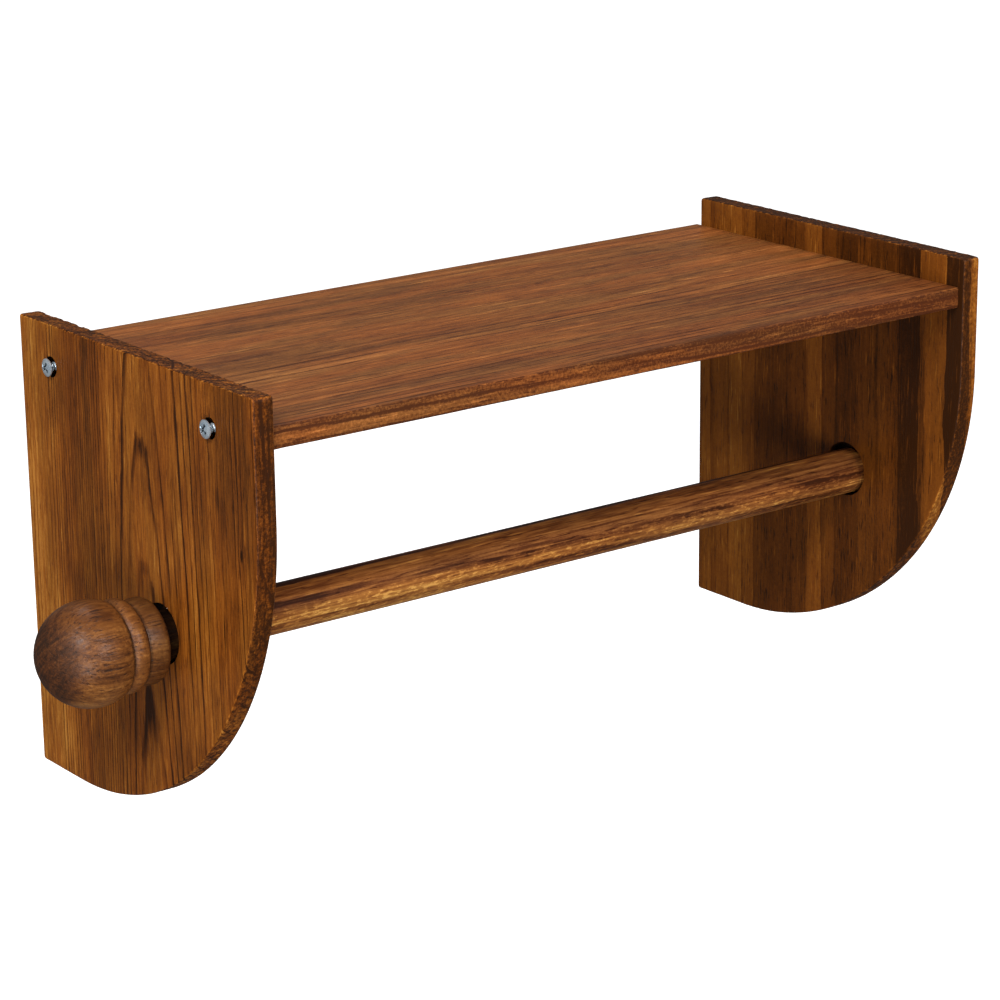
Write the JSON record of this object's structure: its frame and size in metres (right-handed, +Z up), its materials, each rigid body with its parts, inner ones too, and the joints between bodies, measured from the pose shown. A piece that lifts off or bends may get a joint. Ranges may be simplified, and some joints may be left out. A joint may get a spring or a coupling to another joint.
{
  "type": "toilet paper holder",
  "caption": "Wall-hung wooden toilet paper holder with rounded side panels, a shelf between them and a long loose rod with a turned ball knob that slides out sideways.",
  "frame": {"origin": "on the wall, midway between the two wall screw holes in the hanger plates", "axes": "+X along the rod away from its knob, +Y into the wall, +Z up"},
  "size_m": [0.4438, 0.1833, 0.2],
  "materials": {
    "panel_wood": "oiled, satin",
    "shelf_wood": "oiled, satin",
    "rod_wood": "oiled, satin",
    "knob_wood": "oiled, turned, satin",
    "zinc_steel": "zinc plated"
  },
  "bodies": {
    "frame": {"hanger_plate_left": "zinc_steel", "hanger_plate_right": "zinc_steel", "hanger_screw_left_lower": "zinc_steel", "hanger_screw_left_upper": "zinc_steel", "hanger_screw_right_lower": "zinc_steel", "hanger_screw_right_upper": "zinc_steel", "shelf": "shelf_wood", "shelf_screw_left_front": "zinc_steel", "shelf_screw_left_rear": "zinc_steel", "shelf_screw_right_front": "zinc_steel", "shelf_screw_right_rear": "zinc_steel", "side_panel_left": "panel_wood", "side_panel_right": "panel_wood"},
    "rod_core": {"knob_dowel_screw": "zinc_steel"},
    "rod": {"rod": "rod_wood", "knob": "knob_wood"}
  },
  "joints": [
    {"name": "rod_slide", "type": "slide", "parent": "frame", "child": "rod_core", "axis": [-1, 0, 0], "range_m": [0, 0.39]},
    {"name": "rod_spin", "type": "hinge", "parent": "rod_core", "child": "rod", "pos_m": [0, -0.10795, -0.07211], "axis": [1, 0, 0], "continuous": true}
  ]
}
